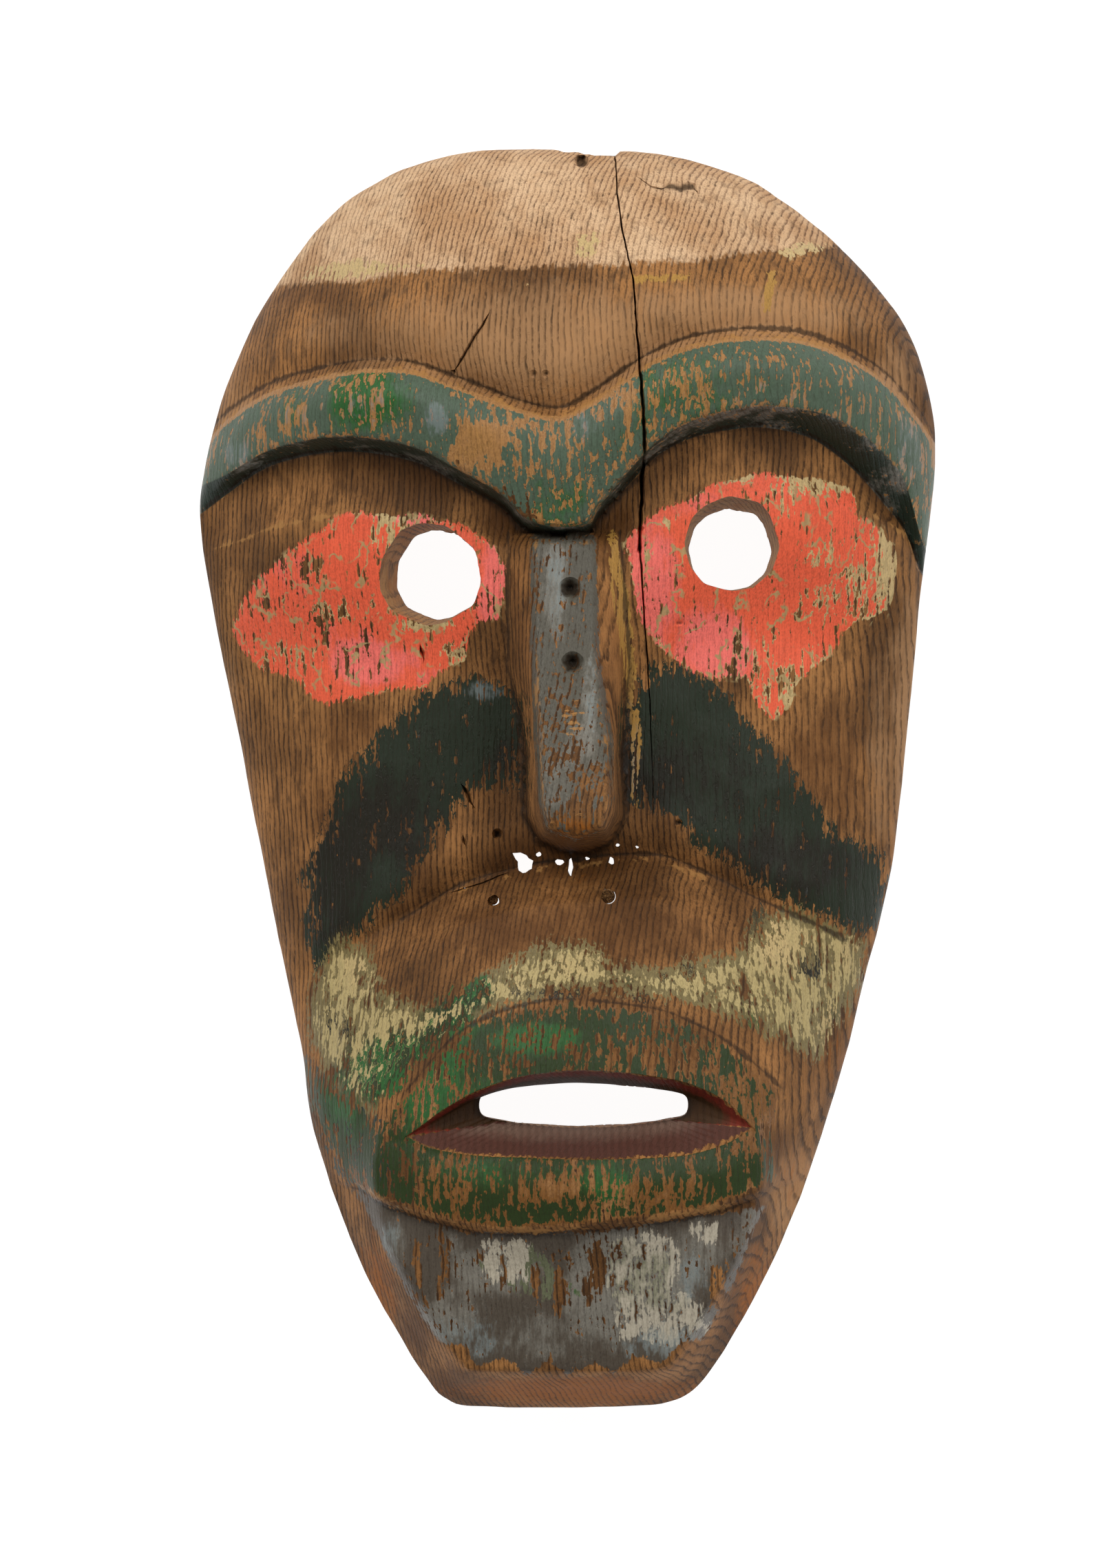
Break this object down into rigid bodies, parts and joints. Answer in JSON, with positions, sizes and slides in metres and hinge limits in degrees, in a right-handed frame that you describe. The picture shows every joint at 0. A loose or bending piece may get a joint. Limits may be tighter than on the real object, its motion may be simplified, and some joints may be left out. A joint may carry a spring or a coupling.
{
  "type": "painted wooden face mask",
  "caption": "Carved and painted wooden face mask, hollowed behind, with pierced eyes and mouth, lying on its rim.",
  "frame": {"origin": "centre of the mask's outline, on the plane of its rim", "axes": "+X to the viewer's right, +Y up the face to the top of the forehead, +Z out of the face"},
  "size_m": [0.1714, 0.292, 0.0829],
  "materials": {
    "carved_wood": "worn paint over bare weathered wood",
    "peg_wood": "broken bare wood"
  },
  "bodies": {
    "root": {"mask": "carved_wood", "left_peg_stub": "peg_wood", "right_peg_stub": "peg_wood"}
  },
  "joints": []
}
